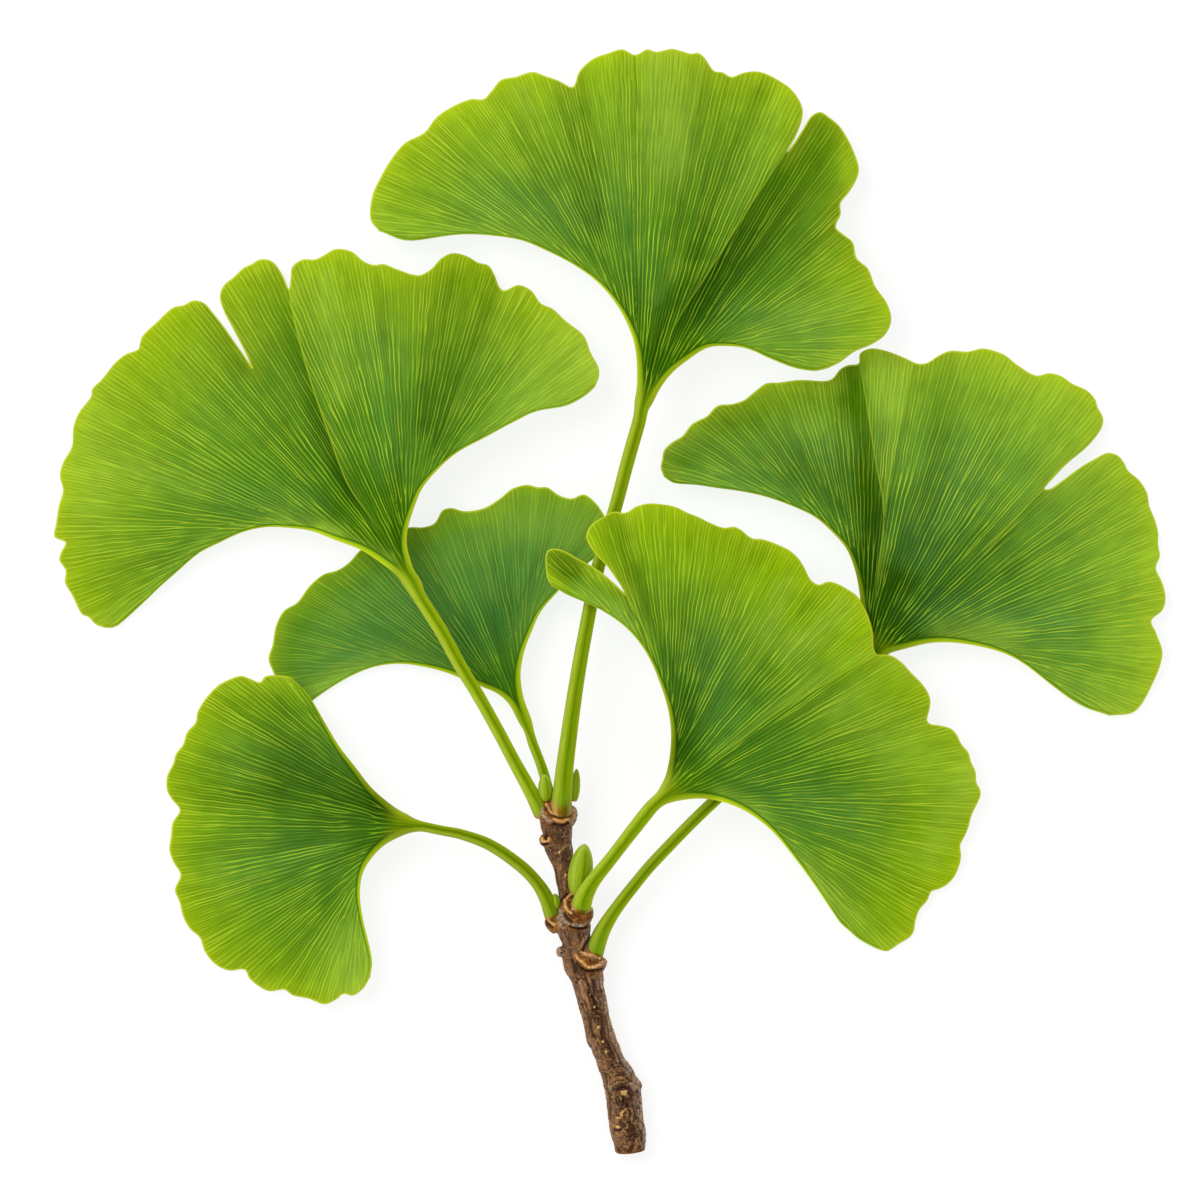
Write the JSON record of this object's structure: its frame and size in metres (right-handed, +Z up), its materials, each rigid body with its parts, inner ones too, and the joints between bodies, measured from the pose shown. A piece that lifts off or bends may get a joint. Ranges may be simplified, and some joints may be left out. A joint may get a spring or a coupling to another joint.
{
  "type": "ginkgo sprig",
  "caption": "Cut ginkgo sprig lying flat: a short woody twig with fan-shaped green leaves on long stalks and small green buds, for use as a still-life or craft prop.",
  "frame": {"origin": "middle of the sprig's bounding box, on the surface it lies on", "axes": "+Y from the cut end of the twig towards the leaf tips, +X to the right seen from above, +Z up, away from the surface"},
  "size_m": [0.1391, 0.1384, 0.0107],
  "materials": {
    "leaf": "satin, soft green leaf blade and stalk",
    "leaf_dark": "satin, deeper green leaf blade and stalk",
    "bud": "satin, pale green bud scales",
    "bark": "rough brown bark"
  },
  "bodies": {
    "root": {"leaf_top": "leaf", "leaf_left": "leaf", "leaf_right": "leaf_dark", "leaf_front": "leaf", "leaf_small": "leaf", "leaf_back": "leaf_dark", "bud_lower": "bud", "bud_upper_left": "bud", "bud_upper_right": "bud", "bud_side": "bud", "twig": "bark"}
  },
  "joints": []
}
